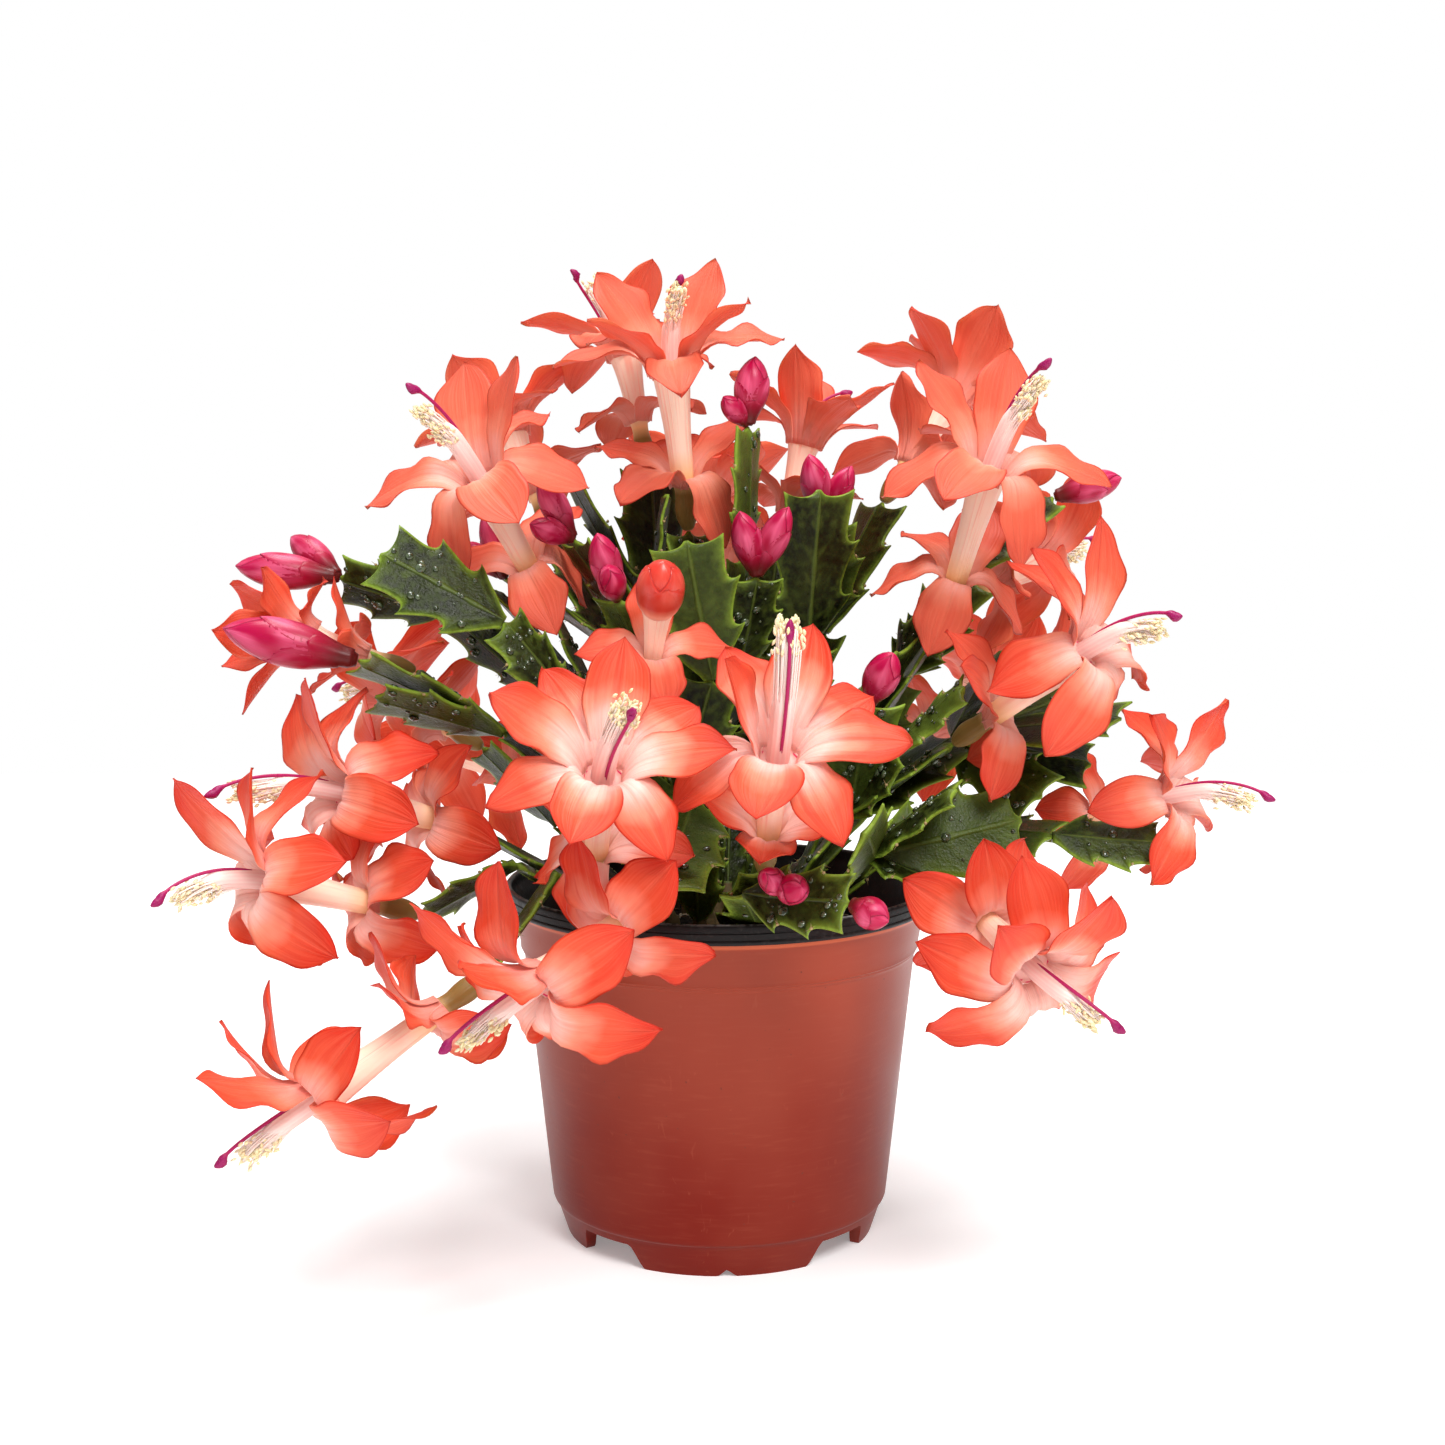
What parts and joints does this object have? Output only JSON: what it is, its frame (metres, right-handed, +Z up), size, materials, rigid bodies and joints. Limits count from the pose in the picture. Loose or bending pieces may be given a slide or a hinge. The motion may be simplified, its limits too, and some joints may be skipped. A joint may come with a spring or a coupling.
{
  "type": "potted flowering cactus",
  "caption": "Thanksgiving cactus in full flower in a tapered nursery pot: flat toothed stems arch over the rim and end in layered coral flowers and pointed magenta buds.",
  "frame": {"origin": "middle of the pot's foot, on the surface that the pot stands on", "axes": "+Z up, -Y towards the viewer of the plant's front, +X to that viewer's right"},
  "size_m": [0.2665, 0.2555, 0.2502],
  "materials": {
    "terracotta": "satin",
    "peat": "matte",
    "leaf": "satin",
    "petal": "satin",
    "bud": "satin"
  },
  "bodies": {
    "root": {"pot": "terracotta", "soil": "peat", "stem_01": "leaf", "stem_02": "leaf", "stem_03": "leaf", "stem_04": "leaf", "stem_05": "leaf", "stem_06": "leaf", "stem_07": "leaf", "stem_08": "leaf", "stem_09": "leaf", "stem_10": "leaf", "stem_11": "leaf", "stem_12": "leaf", "stem_13": "leaf", "stem_14": "leaf", "stem_15": "leaf", "stem_16": "leaf", "stem_17": "leaf", "stem_18": "leaf", "stem_19": "leaf", "stem_20": "leaf", "stem_21": "leaf", "stem_22": "leaf", "bloom_01": "petal", "bloom_02": "petal", "bloom_03": "petal", "bloom_04": "petal", "bloom_05": "petal", "bloom_06": "petal", "bloom_07": "petal", "bloom_08": "petal", "bloom_09": "petal", "bloom_10": "petal", "bloom_11": "petal", "bloom_12": "petal", "bloom_13": "petal", "bloom_14": "petal", "bloom_15": "petal", "bloom_16": "petal", "bloom_17": "petal", "bloom_18": "petal", "bloom_19": "petal", "bloom_20": "petal", "bloom_21": "petal", "bloom_22": "petal", "bloom_23": "petal", "bloom_24": "petal", "bud_01": "bud", "bud_02": "bud", "bud_03": "bud", "bud_04": "bud", "bud_05": "bud", "bud_06": "bud", "bud_07": "bud", "bud_08": "bud", "bud_09": "bud", "bud_10": "bud", "bud_11": "bud", "bud_12": "bud"}
  },
  "joints": []
}
